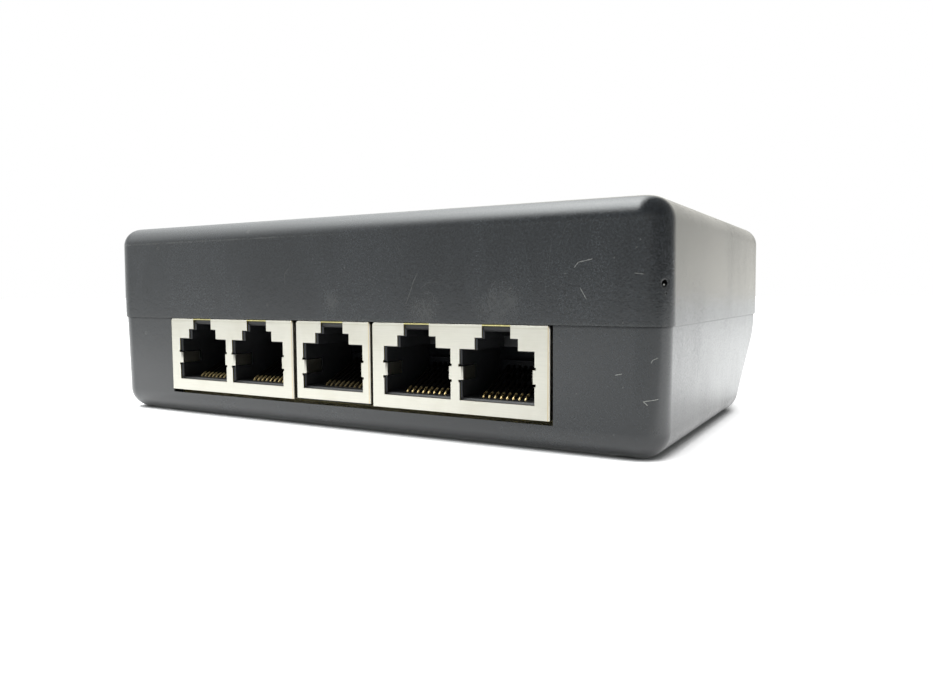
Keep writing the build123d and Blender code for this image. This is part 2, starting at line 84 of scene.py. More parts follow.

# How much painted shade darkens each port's wires
PORT_SHADE = {1: 0.6, 2: 0.4, 3: 0.85, 4: 0.05}

# Marks on the front of the case, as X and height in millimetres; each scratch starts with its strength
SCRATCHES = {
    "upper_shell": (
        (0.5, ((43.1, 26.4), (43.7, 27.1), (45.7, 27.5))),
        (0.45, ((44.0, 23.6), (44.9, 22.1))),
        (0.35, ((51.6, 25.5), (52.8, 25.35))),
        (0.17, ((15.15, 21.3), (16.0, 23.2), (16.6, 24.8), (17.3, 26.0))),
        (0.08, ((17.8, 23.6), (18.95, 24.5), (20.9, 24.7))),
        (0.12, ((-9.2, 27.3), (-10.15, 26.2), (-10.0, 24.6))),
    ),
    "lower_shell": (
        (0.7, ((53.7, 13.6), (53.9, 14.0), (54.45, 14.25))),
        (0.7, ((49.0, 11.8), (49.9, 12.0))),
        (1.0, ((54.5, 8.7), (52.8, 8.4), (53.35, 7.9))),
    ),
}
NICKS = {
    "upper_shell": (
        (3.0, 27.1), (-27.2, 27.2), (51.8, 28.9), (52.3, 29.9), (48.8, 27.6), (41.8, 25.6), (50.1, 18.9)
    ),
    "lower_shell": ((50.1, 10.2), (43.4, 8.9), (40.6, 2.7), (48.8, 3.6)),
}
# Scuffs and pits end with their radius, also in millimetres
SCUFFS = {
    "upper_shell": (((18.6, 20.3), 3.4), ((31.2, 20.8), 4.2), ((33.1, 21.9), 2.4), ((0.3, 21.6), 2.2)),
    "lower_shell": (((54.3, 4.2), 0.9),),
}
PITS = {
    "upper_shell": (((55.07, 24.2), 0.56), ((55.23, 22.8), 0.2)),
    "lower_shell": (),
}

# How much of the plastic's colour each kind of mark covers; the shoulder and rim marks are painted
# highlights, and the parting line mark is painted shade
SCRATCH_COVER = 0.9
NICK_COVER = 0.22             # as a share of a full scratch
SCUFF_COVER = 0.13
HAIRLINE_COVER = 0.42
SPECK_COVER = 0.14
SHOULDER_HIGHLIGHT_COVER = 0.17
RIM_HIGHLIGHT_COVER = 0.06
SEAM_SHADE_COVER = 0.27
PIT_RIM_COVER = 0.09

# Gloss: the case's refraction, and the specular level of the others
CASE_REFRACTION = 1.65
HOUSING_GLOSS = 0.5
CARRIER_GLOSS = 0.08
WIRE_GLOSS = 0.06

# Rounded copies of CAD nodes
WELD_DISTANCE = 0.002 * MM
FLAT_ANGLE = math.radians(0.5)         # faces that meet at less are joined
ROUNDED_ANGLE = math.radians(35)       # edges that turn by more are rounded
CUT_BACK_ANGLE = math.radians(60)      # edges of an opening that turn by more get a lead-in
OUTLINE_MARGIN = 0.3 * MM
FACE_MARGIN = 0.01 * MM

# Stage
FLOOR_REACH = 3.0
FRONT_LEFT = (-0.95, -0.3, 0.0)
CAMERA_PLACE = (0.0819, -0.1337, 0.0231)
CAMERA_TURN = (90.0 - 4.41, 0.25, 29.86)      # in degrees


def colour(name, description, default):
    """A colour property in linear light."""
    return FloatVectorProperty(
        name=name, description=description, default=default, subtype="COLOR", size=3, min=0, max=1
    )


def length(name, description, default):
    """A length property in metres."""
    return FloatProperty(
        name=name, description=description, default=default, unit="LENGTH", subtype="DISTANCE", min=0
    )


def share(name, description, default):
    """A property from 0 to 1."""
    return FloatProperty(
        name=name, description=description, default=default, subtype="FACTOR", min=0, max=1
    )


def level(name, description, default):
    """A property that holds a level of light."""
    return FloatProperty(name=name, description=description, default=default, min=0)


class CaseLook(PropertyGroup):
    """Colours and sizes of the moulded case."""

    plastic: colour("Plastic", "Black of the moulded case", (0.0125, 0.0152, 0.0182))
    # also the grey of the painted highlights at the shoulder and at the rim of the upper shell
    scuff_and_highlight_grey: colour("Scuffed", "Grey of rubbed plastic", (0.2, 0.2, 0.185))
    # also the grey of the painted glint in each pit
    scratch_and_glint_grey: colour("Scratched", "Pale grey at the bottom of a scratch", (0.4, 0.4, 0.375))
    roughness: share("Roughness", "Roughness of the clean plastic", 0.2)
    grain: length("Grain", "Width of one bump of the moulded grain", 0.00026)
    grain_depth: length("Grain Depth", "Height of the moulded grain", 0.0000085)
    scratch: length("Scratch", "Half the width of a scratch", 0.00007)
    rounding: length("Rounding", "Radius of the shells' rims at the parting line", 0.00014)


class JackLook(PropertyGroup):
    """Colours and sizes of the shields and housings."""

    plate: colour("Plate", "Tin plate of the shields", (0.63, 0.615, 0.545))
    # also the colour of the painted shade along the bend under a shield's top edge
    stain_and_fold_shade: colour("Stained", "Duller tin where the sheet was handled", (0.5, 0.475, 0.39))
    folded: colour("Folded", "Straw tone of the sheet along its upright fold", (0.6, 0.48, 0.27))
    cut_edge: colour("Cut Edge", "Bare brass where the sheet was cut", (0.5, 0.36, 0.05))
    top_edge: colour("Top Edge", "Yellow edge of the top sheet over each latch slot", (0.54, 0.49, 0.23))
    latch_width: length("Latch Width", "Width of a latch slot", 0.0047)
    plate_roughness: share("Plate Roughness", "Roughness of the plate", 0.34)
    plate_rounding: length("Plate Rounding", "Radius of the sheet's stamped edges", 0.00004)
    sheet: length("Sheet", "Thickness of the plate", 0.00025)
    fold: length("Fold", "From a shield's top to the line where its face starts to bend", 0.00045)
    housing: colour("Housing", "Black of the jack housings", (0.019, 0.0195, 0.021))
    carrier: colour("Carrier", "Black of the contact carriers", (0.0065, 0.007, 0.0085))
    lead_in: length("Lead-in", "Width cut back around the openings of a housing", 0.0003)
    housing_rounding: length("Housing Rounding", "Radius of the housings' moulded edges", 0.00007)


class WireLook(PropertyGroup):
    """Colours and sizes of the contact wires."""

    gilt: colour("Gilt", "Gold flash on the contact wires", (0.95, 0.74, 0.36))
    # painted shade: the brown that the wires are darkened to away from their bends
    dull: colour("Dull", "Dark brown of the wires where the flash has worn", (0.005, 0.004, 0.003))
    diameter: length("Diameter", "Diameter of a contact wire", 0.00044)
    bright_start: length("Bright Start", "From a port's mouth back to where its wires shine", 0.0021)
    bright_end: length("Bright End", "From a port's mouth back to where its wires stop shining", 0.0035)
    sides: IntProperty(name="Sides", description="Sides of a wire's round section", default=10, min=6)
    steps: IntProperty(name="Steps", description="Lengths that draw one bend of a wire", default=9, min=3)


class InsideLook(PropertyGroup):
    """Colours of the pieces inside the case."""

    resist: colour("Solder Resist", "Green of the circuit board", (0.012, 0.11, 0.035))
    trace: colour("Trace", "Paler green where copper lies under the resist", (0.03, 0.19, 0.06))
    laminate: colour("Laminate", "Straw of the board's cut edges", (0.42, 0.36, 0.16))
    steel: colour("Screw Steel", "Zinc plate of the screws", (0.58, 0.58, 0.6))
    bloom: colour("Bloom", "Dull patches on the zinc plate", (0.36, 0.35, 0.3))
    fuse: colour("Fuse Coating", "Amber dip of the resettable fuses", (0.62, 0.33, 0.03))
    thin_dip: colour("Thin Dip", "Brown specks where the dip is thin", (0.2, 0.09, 0.01))


class StageLook(PropertyGroup):
    """Camera, floor and light."""

    lens: FloatProperty(name="Lens", description="Focal length", default=29.0, unit="CAMERA")
    floor: colour("Floor", "White of the floor", (0.8, 0.8, 0.8))
    contact: length("Contact", "How far out the box darkens the floor", 0.011)
    near_reach: length("Near Reach", "How far in front of the box the floor is bright", 0.24)
    front: level("Front", "Light from in front of the box", 0.53)
    left: level("Left", "Light that the front left adds", 0.37)
    rear: level("Rear", "Light that the rear adds", 0.66)
    overhead: level("Overhead", "Level of the long soft light overhead", 6.8)
    front_tint: colour("Front Tint", "Tint of the light from in front", (0.975, 1.0, 1.0))
    rear_tint: colour("Rear Tint", "Tint of the light from the rear", (1.0, 0.985, 0.91))


# ---------------------------------------------------------------- node building


def feed(tree, socket, value):
    """Links a socket to another one, or fills it; a plain colour gets its alpha."""
    if isinstance(value, bpy.types.NodeSocket):
        tree.links.new(value, socket)
    elif socket.type == "RGBA":
        socket.default_value = (*value, 1.0)
    else:
        socket.default_value = value


def find_socket(sockets, key):
    """A node's socket by number, or by name, skipping the unused ones that share it."""
    if isinstance(key, int):
        return sockets[key]
    found = [socket for socket in sockets if socket.name == key and socket.enabled]
    return found[0] if found else sockets[key]


def add_node(tree, kind, inputs=None, **settings):
    """Adds a node, sets its options, and links or fills its inputs."""
    node = tree.nodes.new(kind)
    for key, value in settings.items():
        setattr(node, key, value)
    for key, value in (inputs or {}).items():
        feed(tree, find_socket(node.inputs, key), value)
    return node


def math_node(tree, operation, *values, clamp=False):
    """The result of a Math node."""
    inputs = dict(enumerate(values))
    return add_node(tree, "ShaderNodeMath", inputs, operation=operation, use_clamp=clamp).outputs[0]


def plus(tree, first, second, clamp=False):
    return math_node(tree, "ADD", first, second, clamp=clamp)


def minus(tree, first, second, clamp=False):
    return math_node(tree, "SUBTRACT", first, second, clamp=clamp)


def times(tree, first, second, clamp=False):
    return math_node(tree, "MULTIPLY", first, second, clamp=clamp)


def over(tree, first, second, clamp=False):
    return math_node(tree, "DIVIDE", first, second, clamp=clamp)


def strongest(tree, masks):
    """The highest of several masks."""
    total = masks[0]
    for mask in masks[1:]:
        total = math_node(tree, "MAXIMUM", total, mask)
    return total


def vector_node(tree, operation, *values):
    """The result of a Vector Math node: a number where it measures, or else a vector."""
    node = add_node(tree, "ShaderNodeVectorMath", dict(enumerate(values)), operation=operation)
    measures = operation in ("DOT_PRODUCT", "DISTANCE", "LENGTH")
    return node.outputs["Value" if measures else "Vector"]


def coordinate(tree, vector, axis):
    """One coordinate of a vector."""
    return add_node(tree, "ShaderNodeSeparateXYZ", {"Vector": vector}).outputs[axis]


def turned(tree, vector, angle):
    """A vector turned about Y, so that marks on the front run another way."""
    inputs = {"Vector": vector, "Angle": angle}
    return add_node(tree, "ShaderNodeVectorRotate", inputs, rotation_type="Y_AXIS").outputs[0]


def noise(tree, vector, scale, detail=2.0, roughness=0.5, output=0):
    """A noise texture's value, or with output 1 its colour."""
    inputs = {"Vector": vector, "Scale": scale, "Detail": detail, "Roughness": roughness}
    return add_node(tree, "ShaderNodeTexNoise", inputs).outputs[output]


def ramp(tree, value, low, high, start=0.0, end=1.0, smooth=True):
    """Maps a value between two limits to a clamped result."""
    node = add_node(
        tree,
        "ShaderNodeMapRange",
        {"Value": value, "From Min": low, "From Max": high, "To Min": start, "To Max": end},
        interpolation_type="SMOOTHSTEP" if smooth else "LINEAR",
    )
    return node.outputs["Result"]


def band(tree, value, low, high, soft):
    """1 between two limits, fading to 0 over a soft width on both sides."""
    rise = ramp(tree, value, low - soft, low + soft)
    fall = ramp(tree, value, high - soft, high + soft, 1.0, 0.0)
    return times(tree, rise, fall)


def blend_values(tree, factor, first, second):
    """The first value where a factor is 0, and the second where it is 1."""
    return add_node(tree, "ShaderNodeMix", {0: factor, 2: first, 3: second}).outputs[0]


def blend_colours(tree, factor, first, second, mode="MIX"):
    """The first colour where a factor is 0, and the second, or its blend, where it is 1."""
    inputs = {0: factor, 6: first, 7: second}
    return add_node(tree, "ShaderNodeMix", inputs, data_type="RGBA", blend_type=mode).outputs[2]


def shade(tree, base, tone):
    """A colour made darker or lighter by a tone that varies around 1."""
    return blend_colours(tree, 1.0, base, tone, mode="MULTIPLY")


def cover(tree, base, mask, paint, amount):
    """A base colour with a paint over it where a mask shows, in part."""
    return blend_colours(tree, times(tree, mask, amount), base, paint)


# ---------------------------------------------------------------- surface effects


def effect(name, inputs, outputs):
    """A shader node group that takes a Position, with the sockets inside it.

    An input with a default is a number, and one without is a vector.
    """
    tree = bpy.data.node_groups.new(name, "ShaderNodeTree")
    for label, default in {"Position": None, **inputs}.items():
        kind = "NodeSocketVector" if default is None else "NodeSocketFloat"
        socket = tree.interface.new_socket(name=label, in_out="INPUT", socket_type=kind)
        if default is not None:
            socket.default_value = default
    for label in outputs:
        tree.interface.new_socket(name=label, in_out="OUTPUT", socket_type="NodeSocketFloat")
    return tree, tree.nodes.new("NodeGroupInput").outputs, tree.nodes.new("NodeGroupOutput").inputs


def use_effect(tree, name, position, **values):
    """Places a group in a material with its own values, and gives what it puts out."""
    node = tree.nodes.new("ShaderNodeGroup")
    node.node_tree = bpy.data.node_groups[name]
    for key, value in {"Position": position, **values}.items():
        feed(tree, node.inputs[key], value)
    return node.outputs


def radii_out(tree, source):
    """How far a group's Position lies from its Centre, counted in its Radius."""
    distance = vector_node(tree, "DISTANCE", source["Position"], source["Centre"])
    return over(tree, distance, source["Radius"])


def build_moulded_grain(name):
    """Spark-eroded texture of a mould, and the slow drift in shade over a moulding."""
    tree, source, sink = effect(name, {"Width": 0.0002}, ("Height", "Fleck", "Drift"))
    place = source["Position"]
    scale = over(tree, 1.0, source["Width"])
    fine = noise(tree, place, scale, roughness=0.6)
    coarse = noise(tree, place, times(tree, scale, 0.35), detail=1.0)
    tree.links.new(plus(tree, fine, coarse), sink["Height"])
    fleck = noise(tree, place, times(tree, scale, 0.8), detail=3.0, roughness=0.7)
    tree.links.new(ramp(tree, fleck, 0.3, 0.7), sink["Fleck"])
    flow = vector_node(tree, "MULTIPLY", place, (95.0, 95.0, 40.0))
    drift = noise(tree, flow, 1.0, detail=4.0, roughness=0.6)
    tree.links.new(ramp(tree, drift, 0.3, 0.7), sink["Drift"])


def build_stroke(name):
    """One scratch: a soft line between two points, thinner towards both."""
    tree, source, sink = effect(name, {"Start": None, "End": None, "Width": 0.0001}, ("Mask",))
    offset = vector_node(tree, "SUBTRACT", source["Position"], source["Start"])
    run = vector_node(tree, "SUBTRACT", source["End"], source["Start"])
    reached = vector_node(tree, "DOT_PRODUCT", offset, run)
    along = over(tree, reached, vector_node(tree, "DOT_PRODUCT", run, run), clamp=True)
    nearest = add_node(tree, "ShaderNodeVectorMath", {0: run, "Scale": along}, operation="SCALE")
    distance = vector_node(tree, "DISTANCE", offset, nearest.outputs[0])
    taper = minus(tree, 1.0, math_node(tree, "ABSOLUTE", minus(tree, along, 0.5)))
    widths_out = over(tree, distance, times(tree, source["Width"], taper))
    tree.links.new(ramp(tree, widths_out, 0.5, 1.4, 1.0, 0.0), sink["Mask"])


def build_spot(name):
    """One nick: a small round spot."""
    tree, source, sink = effect(name, {"Centre": None, "Radius": 0.0001}, ("Mask",))
    tree.links.new(ramp(tree, radii_out(tree, source), 0.5, 1.3, 1.0, 0.0), sink["Mask"])


def build_scuff(name):
    """One rubbed patch: short fine strokes that thin out from its middle."""
    tree, source, sink = effect(name, {"Centre": None, "Radius": 0.003}, ("Mask",))
    place = source["Position"]
    ragged = minus(tree, noise(tree, place, 420.0, detail=3.0), 0.5)
    near = ramp(tree, plus(tree, radii_out(tree, source), ragged), 0.1, 1.05, 1.0, 0.0)
    strokes = []
    for turn in (-0.5, 0.35, 1.2):
        drawn_out = vector_node(tree, "MULTIPLY", turned(tree, place, turn), (3800.0, 3800.0, 700.0))
        strokes.append(ramp(tree, noise(tree, drawn_out, 1.0), 0.52, 0.7))
    grit = plus(tree, 0.42, times(tree, strongest(tree, strokes), 0.58))
    tree.links.new(times(tree, near, grit), sink["Mask"])


def build_pit(name):
    """One dent: a round hollow with a raised rim."""
    tree, source, sink = effect(name, {"Centre": None, "Radius": 0.0004}, ("Hollow", "Rim"))
    wobble = minus(tree, noise(tree, source["Position"], 2200.0), 0.5)
    ragged = plus(tree, radii_out(tree, source), times(tree, wobble, 0.5))
    tree.links.new(ramp(tree, ragged, 0.55, 1.0, 1.0, 0.0), sink["Hollow"])
    tree.links.new(band(tree, ragged, 1.0, 1.3, 0.15), sink["Rim"])


def build_hairlines(name):
    """Fine scratches from handling: thin arcs at random, in patches."""
    tree, source, sink = effect(name, {"Scale": 60.0, "Cover": 0.5}, ("Mask",))
    layers = []
    for turn, stretch in ((0.35, 9.0), (1.25, 6.0), (2.3, 11.0)):
        place = turned(tree, source["Position"], turn)
        wobble = noise(tree, place, 45.0, detail=1.0, output=1)
        bent = vector_node(tree, "ADD", place, vector_node(tree, "MULTIPLY", wobble, (0.0, 0.0, 0.006)))
        cells = add_node(
            tree,
            "ShaderNodeTexVoronoi",
            {"Vector": vector_node(tree, "MULTIPLY", bent, (1.0, 1.0, stretch)), "Scale": source["Scale"]},
            feature="DISTANCE_TO_EDGE",
        )
        line = ramp(tree, cells.outputs["Distance"], 0.0, 0.012, 1.0, 0.0)
        patch = ramp(tree, noise(tree, place, 70.0 + 20.0 * turn), 0.62, 0.74)
        layers.append(times(tree, line, patch))
    tree.links.new(times(tree, strongest(tree, layers), source["Cover"], clamp=True), sink["Mask"])


def build_specks(name):
    """Dust and small nicks: scattered round specks of uneven size."""
    tree, source, sink = effect(name, {"Scale": 400.0, "Amount": 0.1}, ("Mask",))
    inputs = {"Vector": source["Position"], "Scale": source["Scale"]}
    cells = add_node(tree, "ShaderNodeTexVoronoi", inputs).outputs
    chance = add_node(tree, "ShaderNodeSeparateColor", {"Color": cells["Color"]}).outputs
    chosen = math_node(tree, "LESS_THAN", chance[0], source["Amount"])
    size = ramp(tree, chance[1], 0.0, 1.0, 0.06, 0.22, smooth=False)
    spot = ramp(tree, over(tree, cells["Distance"], size), 0.6, 1.0, 1.0, 0.0)
    tree.links.new(times(tree, spot, chosen), sink["Mask"])


def build_brushing(name):
    """Rolling lines of sheet metal along X, with faint stains."""
    tree, source, sink = effect(name, {"Width": 0.00006, "Length": 0.004}, ("Height", "Stain"))
    place = source["Position"]
    across = over(tree, 1.0, source["Width"])
    along = over(tree, 1.0, source["Length"])
    scales = add_node(tree, "ShaderNodeCombineXYZ", {"X": along, "Y": across, "Z": across}).outputs[0]
    tree.links.new(noise(tree, vector_node(tree, "MULTIPLY", place, scales), 1.0), sink["Height"])
    tree.links.new(ramp(tree, noise(tree, place, 180.0, detail=4.0), 0.45, 0.75), sink["Stain"])


def build_traces(name):
    """Copper under solder resist: square-cornered paths of even width."""
    tree, source, sink = effect(name, {"Pitch": 0.0013}, ("Mask",))
    scale = times(tree, over(tree, 1.0, source["Pitch"]), 0.35)
    cells = add_node(
        tree,
        "ShaderNodeTexVoronoi",
        {"Vector": source["Position"], "Scale": scale, "Randomness": 0.8},
        distance="CHEBYCHEV",
    )
    rings = math_node(tree, "FRACT", times(tree, cells.outputs["Distance"], 4.0))
    tree.links.new(band(tree, rings, 0.3, 0.7, 0.06), sink["Mask"])


EFFECTS = {
    "Moulded Grain": build_moulded_grain,
    "Stroke": build_stroke,
    "Spot": build_spot,
    "Scuff": build_scuff,
    "Pit": build_pit,
    "Hairlines": build_hairlines,
    "Specks": build_specks,
    "Brushing": build_brushing,
    "Traces": build_traces,
}


# ---------------------------------------------------------------- materials


def start_material(name):
    """A new material with its Principled shader and the position on the object."""
    material = bpy.data.materials.new(name)
    material.use_nodes = True
    tree = material.node_tree
    position = tree.nodes.new("ShaderNodeTexCoord").outputs["Object"]
    return material, tree, tree.nodes["Principled BSDF"], position


def finish_surface(tree, shader, base, roughness, height, depth):
    """Gives a shader its colour, its roughness and a bump, of a height times a depth in metres."""
    bump = add_node(tree, "ShaderNodeBump", {"Height": height, "Distance": depth})
    tree.links.new(base, shader.inputs["Base Color"])
    tree.links.new(roughness, shader.inputs["Roughness"])
    tree.links.new(bump.outputs[0], shader.inputs["Normal"])


def facing(tree, axis):
    """1 where a surface faces along an axis, either way, and 0 where it runs along it."""
    normal = tree.nodes.new("ShaderNodeTexCoord").outputs["Normal"]
    return math_node(tree, "ABSOLUTE", coordinate(tree, normal, axis))


def parting_height():
    """Height of the line where the shells meet."""
    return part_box("lower_shell")[1][2] - TONGUE_HEIGHT


def on_front(node, x, height):
    """The point of a shell's front face at an X and a height in millimetres."""
    lowest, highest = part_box(node)
    inset = abs(height * MM - parting_height()) * math.tan(WALL_DRAFT)
    radius = CORNER_RADIUS - (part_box("upper_shell")[1][0] - highest[0])
    past = max(abs(x * MM) - (highest[0] - inset - radius), 0.0)
    back = radius - math.sqrt(max(radius**2 - past**2, 0.0))
    return Vector((x * MM, lowest[1] + inset + back, height * MM))


def split_runs(line):
    """A line of points with one more in the middle of each run, to follow a rounded corner."""
    points = [line[0]]
    for start, end in zip(line, line[1:]):
        points += [((start[0] + end[0]) / 2, (start[1] + end[1]) / 2), end]
    return points


def scratch_mask(tree, node, position, look):
    """A shell's scratches and nicks."""
    masks = []
    for strength, line in SCRATCHES[node]:
        points = [on_front(node, *place) for place in split_runs(line)]
        for start, end in zip(points, points[1:]):
            stroke = use_effect(tree, "Stroke", position, Start=start, End=end, Width=look.scratch)
            masks.append(times(tree, stroke["Mask"], strength))
    for place in NICKS[node]:
        spot = use_effect(tree, "Spot", position, Centre=on_front(node, *place), Radius=1.5 * look.scratch)
        masks.append(times(tree, spot["Mask"], NICK_COVER))
    return strongest(tree, masks)


def scuff_mask(tree, node, position):
    """A shell's rubbed patches."""
    masks = []
    for place, radius in SCUFFS[node]:
        scuff = use_effect(tree, "Scuff", position, Centre=on_front(node, *place), Radius=radius * MM)
        masks.append(scuff["Mask"])
    return strongest(tree, masks)


def shoulder_highlight(tree, position):
    """A painted highlight along the line where the upper shell's rounded edge starts, mostly at the left.
    """
    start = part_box("upper_shell")[1][2] - EDGE_RADIUS
    line = band(tree, coordinate(tree, position, "Z"), start + 0.05 * MM, start + 0.35 * MM, 0.12 * MM)
    left = ramp(tree, coordinate(tree, position, "X"), -30 * MM, 12 * MM, 1.0, 0.15)
    ragged = ramp(tree, noise(tree, position, 700.0, detail=3.0), 0.3, 0.7, 0.4, 1.3)
    return times(tree, times(tree, line, left), ragged)


def parting_band(tree, position, low, high):
    """A band along the parting line, from low to high above it."""
    parting = parting_height()
    return band(tree, coordinate(tree, position, "Z"), parting + low, parting + high, 0.08 * MM)


def add_pits(tree, node, position, look, base, height):
    """Sinks a shell's pits into its height, with painted shade in each hollow and a painted glint in each.

    Gives the new colour and height, and the masks of the painted shade in the pits.
    """
    pit_shade = []
    for (x, z), radius in PITS[node]:
        pit = use_effect(tree, "Pit", position, Centre=on_front(node, x, z), Radius=radius * MM)
        # painted shade: each pit's hollow is blended to black
        base = blend_colours(tree, pit["Hollow"], base, PAINTED_SHADE_BLACK)
        base = cover(tree, base, pit["Rim"], look.scuff_and_highlight_grey, PIT_RIM_COVER)
        # painted glint: a pale spot low in each pit
        low = on_front(node, x - 0.1 * radius, z - 0.45 * radius)
        fleck = use_effect(tree, "Spot", position, Centre=low, Radius=0.24 * radius * MM)["Mask"]
        base = blend_colours(tree, fleck, base, look.scratch_and_glint_grey)
        pit_shade.append(minus(tree, pit["Hollow"], fleck, clamp=True))
        height = plus(tree, height, times(tree, pit["Hollow"], -0.9 * radius * MM))
    return base, height, pit_shade


def case_material(node, look):
    """Grained black plastic, with the marks of handling on its front, painted highlights at the shoulder
    and rim, and painted shade in the pits and along the parting line; its height is in metres.
    """
    material, tree, shader, position = start_material(f"{node}_plastic")
    grain = use_effect(tree, "Moulded Grain", position, Width=look.grain)
    hairs = use_effect(tree, "Hairlines", position, Scale=85.0, Cover=0.4)
    specks = use_effect(tree, "Specks", position, Scale=420.0, Amount=0.04)
    sharp = scratch_mask(tree, node, position, look)
    soft = scuff_mask(tree, node, position)
    slow_tone = ramp(tree, grain["Drift"], 0.0, 1.0, 0.8, 1.2, smooth=False)
    fine_tone = ramp(tree, grain["Fleck"], 0.0, 1.0, 0.45, 1.55, smooth=False)
    faint = [times(tree, hairs["Mask"], HAIRLINE_COVER), times(tree, specks["Mask"], SPECK_COVER)]
    base = shade(tree, look.plastic, times(tree, slow_tone, fine_tone))
    base = cover(tree, base, soft, look.scuff_and_highlight_grey, SCUFF_COVER)
    base = blend_colours(tree, strongest(tree, faint), base, look.scuff_and_highlight_grey)
    base = cover(tree, base, sharp, look.scratch_and_glint_grey, SCRATCH_COVER)
    if node == "upper_shell":
        # painted highlight: a pale line where the rounded top edge starts
        base = cover(tree, base, shoulder_highlight(tree, position), look.scuff_and_highlight_grey, SHOULDER_HIGHLIGHT_COVER)
        # painted highlight: a pale band along the rim at the parting line
        base = cover(tree, base, parting_band(tree, position, 0.0, 0.3 * MM), look.scuff_and_highlight_grey, RIM_HIGHLIGHT_COVER)
    height = times(tree, grain["Height"], look.grain_depth)
    base, height, painted_shade_places = add_pits(tree, node, position, look, base, height)
    if node == "lower_shell":
        # painted shade: a black band along the parting line under the upper shell's overhang
        seam_shade = times(tree, parting_band(tree, position, -0.28 * MM, 0.1 * MM), SEAM_SHADE_COVER)
        base = blend_colours(tree, seam_shade, base, PAINTED_SHADE_BLACK)
        painted_shade_places.append(seam_shade)
    painted_shade = strongest(tree, painted_shade_places)
    drift = ramp(tree, grain["Drift"], 0.0, 1.0, -0.04, 0.04, smooth=False)
    fleck = ramp(tree, grain["Fleck"], 0.0, 1.0, -0.07, 0.07, smooth=False)
    worn_and_shaded = times(tree, strongest(tree, [soft, sharp]), 0.2)
    roughness = plus(tree, plus(tree, plus(tree, drift, fleck), worn_and_shaded), look.roughness, clamp=True)
    finish_surface(tree, shader, base, strongest(tree, [roughness, painted_shade]), height, 1.0)
    # the pits and the parting line are painted shade: black metal gives back no light, which keeps them
    # black from any side
    tree.links.new(painted_shade, shader.inputs["Metallic"])
    shader.inputs["IOR"].default_value = CASE_REFRACTION
    return material


def plate_material(node, ports, look):
    """Tin-plated sheet with rolling lines, warm in tone, painted shade along the bend under its top, and
    bare brass on its cut edges.
    """
    material, tree, shader, position = start_material(f"{node}_plate")
    lowest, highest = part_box(node)
    across, depth, height = [coordinate(tree, position, axis) for axis in "XYZ"]
    lines = use_effect(tree, "Brushing", position, Width=0.08 * MM, Length=4 * MM)
    base = shade(tree, look.plate, ramp(tree, lines["Height"], 0.2, 0.8, 0.95, 1.04))
    base = cover(tree, base, lines["Stain"], look.stain_and_fold_shade, 0.3)
    # painted shade: a darker band where the face bends back under the top edge
    bend = highest[2] - look.fold
    fold_shade = band(tree, height, bend - 0.12 * MM, bend + 0.06 * MM, 0.06 * MM)
    base = cover(tree, base, fold_shade, look.stain_and_fold_shade, 0.5)
    right_fold = band(tree, across, highest[0] - 0.34 * MM, highest[0] - 0.16 * MM, 0.07 * MM)
    base = cover(tree, base, right_fold, look.folded, 0.75)
    # sides of the sheet, which face across it or up and down, within the front's thickness
    within = band(tree, depth, lowest[1] + 0.15 * look.sheet, lowest[1] + 0.97 * look.sheet, 0.01 * MM)
    cut_side = times(tree, within, ramp(tree, facing(tree, "Y"), 0.3, 0.6, 1.0, 0.0))
    base = blend_colours(tree, cut_side, base, look.cut_edge)
    top_edge = band(tree, height, highest[2] - 1.5 * look.sheet, highest[2] + look.sheet, 0.03 * MM)
    for port in ports:
        first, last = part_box(f"port_{port}_contacts")
        middle = (first[0] + last[0]) / 2
        slot = band(tree, across, middle - look.latch_width / 2, middle + look.latch_width / 2, 0.03 * MM)
        base = blend_colours(tree, times(tree, top_edge, slot), base, look.top_edge)
    smoothest, roughest = look.plate_roughness - 0.05, look.plate_roughness + 0.07
    roughness = ramp(tree, lines["Height"], 0.2, 0.8, smoothest, roughest)
    finish_surface(tree, shader, base, roughness, lines["Height"], 0.004 * MM)
    shader.inputs["Metallic"].default_value = 1.0
    return material


def jack_material(name, black, gloss):
    """Black glass-filled plastic, with the flow of fibres in its skin."""
    material, tree, shader, position = start_material(name)
    grain = use_effect(tree, "Moulded Grain", position, Width=0.14 * MM)
    lines = use_effect(tree, "Brushing", position, Width=0.16 * MM, Length=0.6 * MM)
    slow_tone = ramp(tree, grain["Drift"], 0.0, 1.0, 0.8, 1.25, smooth=False)
    fibre_tone = ramp(tree, lines["Height"], 0.3, 0.7, 0.8, 1.2)
    base = shade(tree, black, times(tree, slow_tone, fibre_tone))
    roughness = ramp(tree, grain["Fleck"], 0.0, 1.0, 0.32, 0.46)
    finish_surface(tree, shader, base, roughness, grain["Height"], 0.004 * MM)
    shader.inputs["Specular IOR Level"].default_value = gloss
    return material


